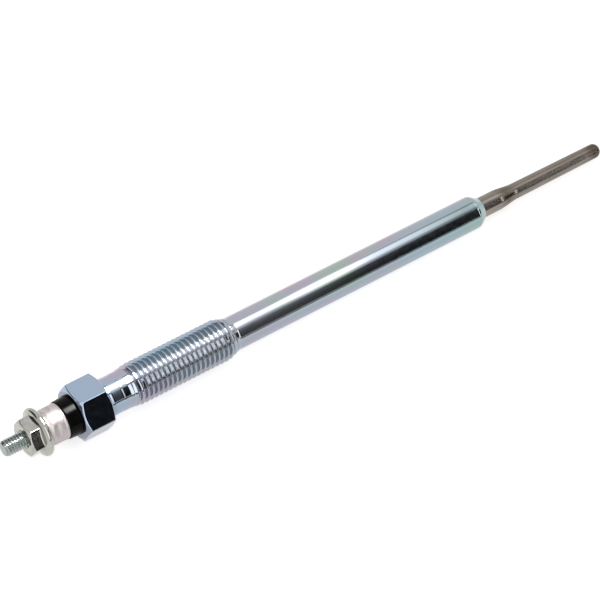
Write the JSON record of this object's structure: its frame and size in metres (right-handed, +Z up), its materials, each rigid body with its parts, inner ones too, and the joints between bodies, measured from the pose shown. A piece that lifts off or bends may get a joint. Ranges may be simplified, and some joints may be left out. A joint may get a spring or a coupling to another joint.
{
  "type": "diesel glow plug",
  "caption": "Slim sheathed diesel glow plug: hexagon and thread on a long barrel with a conical seat, a heater tip at one end and a threaded terminal with nuts at the other.",
  "frame": {"origin": "on the plug's axis at the wide end of the seat cone, where the barrel ends", "axes": "+X along the axis from the terminal stud to the heater's tip, +Z up and square to the upper flat of the hexagon, +Y completes a right-handed frame"},
  "size_m": [0.1664, 0.0138, 0.012],
  "materials": {
    "zinc_plate": "bright zinc plate with a faint bluish iridescence",
    "rod_steel": "plated steel thread, greenish grey",
    "nut_plate": "satin zinc plate, warm grey",
    "ring_metal": "bright turned metal, pale and warm",
    "black_bush": "glossy black moulding",
    "seal_rubber": "smooth black rubber",
    "sheath_alloy": "satin heat-resisting alloy, brownish grey, dark at the tip",
    "magnesia": "packed white powder",
    "coil_wire": "drawn resistance wire"
  },
  "bodies": {
    "root": {"housing": "zinc_plate", "terminal_rod": "rod_steel", "flange_nut": "nut_plate", "ring_nut": "ring_metal", "insulator_bush": "black_bush", "housing_seal": "seal_rubber", "sheath_tube": "sheath_alloy", "sheath_seal": "seal_rubber", "magnesia_fill": "magnesia", "control_coil": "coil_wire", "heating_coil": "coil_wire"}
  },
  "joints": []
}
